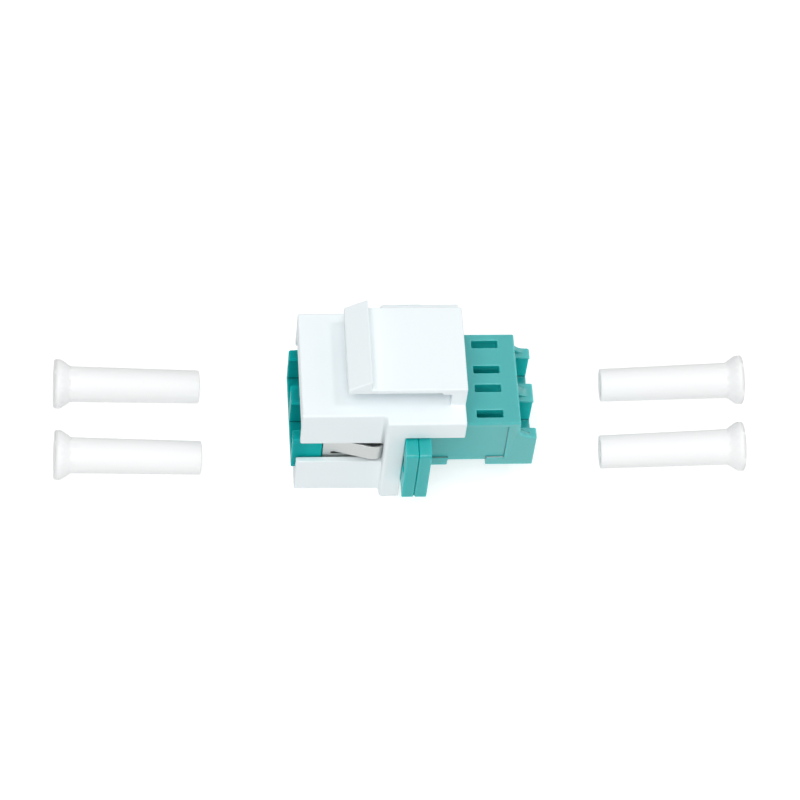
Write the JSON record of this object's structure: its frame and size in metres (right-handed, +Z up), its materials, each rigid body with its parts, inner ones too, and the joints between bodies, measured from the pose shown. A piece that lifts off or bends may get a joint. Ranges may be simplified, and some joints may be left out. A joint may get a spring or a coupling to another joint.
{
  "type": "keystone fibre coupler",
  "caption": "White keystone snap-in housing with a sprung latch, holding an aqua duplex fibre adapter with its spring clip and alignment sleeves; dust caps lie beside the ports.",
  "frame": {"origin": "on the centre line, on the housing's underside, in the plane where the shoulders meet the panel", "axes": "+X from the front of the panel to its rear along the fibre, +Z up towards the latch"},
  "size_m": [0.0849, 0.0218, 0.0221],
  "materials": {
    "white_plastic": "satin moulded",
    "aqua_plastic": "satin moulded",
    "clip_steel": "rolled sheet",
    "sleeve_ceramic": "ground ceramic",
    "cap_plastic": "soft translucent"
  },
  "bodies": {
    "coupler": {"keystone_housing": "white_plastic", "adapter_front_half": "aqua_plastic", "adapter_rear_half": "aqua_plastic", "spring_clip": "clip_steel", "left_sleeve": "sleeve_ceramic", "right_sleeve": "sleeve_ceramic", "front_left_cap": "cap_plastic", "front_right_cap": "cap_plastic", "rear_left_cap": "cap_plastic", "rear_right_cap": "cap_plastic"},
    "latch": {"latch_arm": "white_plastic"}
  },
  "joints": [
    {"name": "latch_flex", "type": "hinge", "parent": "coupler", "child": "latch", "pos_m": [0.00755, 0, 0.01864], "axis": [0, -1, 0], "range_deg": [0, 7], "stiffness_Nm_per_rad": 0.05}
  ]
}
